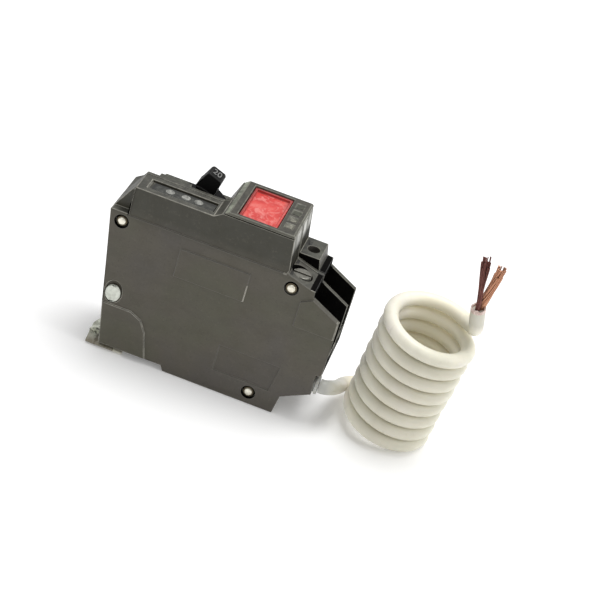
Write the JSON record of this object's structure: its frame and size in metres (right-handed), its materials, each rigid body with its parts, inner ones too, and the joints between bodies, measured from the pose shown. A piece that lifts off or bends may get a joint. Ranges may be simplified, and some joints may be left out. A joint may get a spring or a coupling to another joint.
{
  "type": "gfci circuit breaker",
  "caption": "One-pole plug-in ground-fault circuit breaker with a toggle handle, a red test button, screw terminals and a coiled white neutral lead.",
  "frame": {"origin": "under the middle of the case, at the back face it stands on", "axes": "+Z out of the handle face, +X towards the load terminals, +Y from the electronics half to the contact half"},
  "size_m": [0.1225, 0.0384, 0.076],
  "materials": {
    "case_grey": "moulded thermoset, fine matt",
    "case_dark": "moulded thermoset, fine matt",
    "label_grey": "satin",
    "black_plastic": "satin",
    "red_plastic": "satin",
    "steel": "rolled",
    "plated": "bright zinc or tin plate",
    "lug_alloy": "tin-plated",
    "copper": "bare copper",
    "silver": "silver contact alloy",
    "bimetal": "rolled strip",
    "core_blue": "epoxy-coated core",
    "surge_blue": "epoxy dip",
    "board_green": "solder mask",
    "white_wire": "soft satin vinyl"
  },
  "bodies": {
    "case": {"near_cover": "case_grey", "centre_barrier": "case_grey", "test_bezel": "case_grey", "far_case": "case_dark", "label_strip": "label_grey", "control_chip": "black_plastic", "spring_shelf": "black_plastic", "button_spring": "steel", "solenoid_frame": "steel", "magnet_yoke": "steel", "handle_pin": "steel", "arm_pin": "steel", "cradle_pin": "steel", "armature_pin": "steel", "jaw_spring": "steel", "arc_plate_1": "steel", "arc_plate_2": "steel", "arc_plate_3": "steel", "arc_plate_4": "steel", "line_jaw": "plated", "case_rivet_corner": "plated", "case_rivet_foot": "plated", "line_strap_rivet": "plated", "neutral_strap_rivet": "plated", "neutral_lug": "lug_alloy", "load_lug": "lug_alloy", "test_contact_blade": "copper", "solenoid_coil": "copper", "neutral_strap": "copper", "line_strap": "copper", "load_strap": "copper", "flexible_braid": "copper", "strands_dark": "copper", "strands_bright": "copper", "fixed_contact_tip": "silver", "bimetal": "bimetal", "current_transformer": "core_blue", "surge_disc": "surge_blue", "circuit_board": "board_green", "neutral_inner_lead": "white_wire", "pigtail_gland": "white_wire", "pigtail_lead": "white_wire", "pigtail_coil": "white_wire", "pigtail_tail": "white_wire"},
    "handle": {"handle": "black_plastic"},
    "contact_arm": {"contact_arm": "copper", "moving_contact_tip": "silver", "toggle_spring": "steel"},
    "cradle": {"cradle": "steel"},
    "armature": {"armature": "steel"},
    "plunger": {"solenoid_plunger": "steel"},
    "button": {"test_button": "red_plastic"},
    "neutral_screw": {"neutral_screw": "plated"},
    "load_screw": {"load_screw": "plated"}
  },
  "joints": [
    {"name": "handle_swing", "type": "hinge", "parent": "case", "child": "handle", "pos_m": [-0.0193, 0.0069, 0.0445], "axis": [0, 1, 0], "range_deg": [-42, 0]},
    {"name": "contact_swing", "type": "hinge", "parent": "case", "child": "contact_arm", "pos_m": [-0.0135, 0.0066, 0.036], "axis": [0, 1, 0], "range_deg": [-17, 0]},
    {"name": "armature_tilt", "type": "hinge", "parent": "case", "child": "armature", "pos_m": [0.0095, 0.0066, 0.0225], "axis": [0, 1, 0], "range_deg": [0, 4], "stiffness_Nm_per_rad": 0.02},
    {"name": "cradle_trip", "type": "hinge", "parent": "case", "child": "cradle", "pos_m": [0.001, 0.0066, 0.0405], "axis": [0, 1, 0], "range_deg": [-12, 0]},
    {"name": "plunger_pull", "type": "slide", "parent": "case", "child": "plunger", "axis": [1, 0, 0], "range_m": [0, 0.0025], "stiffness_N_per_m": 60},
    {"name": "button_press", "type": "slide", "parent": "case", "child": "button", "axis": [0, 0, -1], "range_m": [0, 0.0012], "stiffness_N_per_m": 800, "deforming": ["button_spring"]},
    {"name": "neutral_screw_turn", "type": "hinge", "parent": "case", "child": "neutral_screw", "pos_m": [0.0233, -0.0062, 0.0493], "axis": [0, 0, 1], "continuous": true},
    {"name": "load_screw_turn", "type": "hinge", "parent": "case", "child": "load_screw", "pos_m": [0.0233, 0.006, 0.0476], "axis": [0, 0, 1], "continuous": true}
  ],
  "couplings": [
    {"joint": "contact_swing", "follows": "handle_swing", "ratio": 0.4},
    {"joint": "cradle_trip", "follows": "armature_tilt", "ratio": -3}
  ]
}
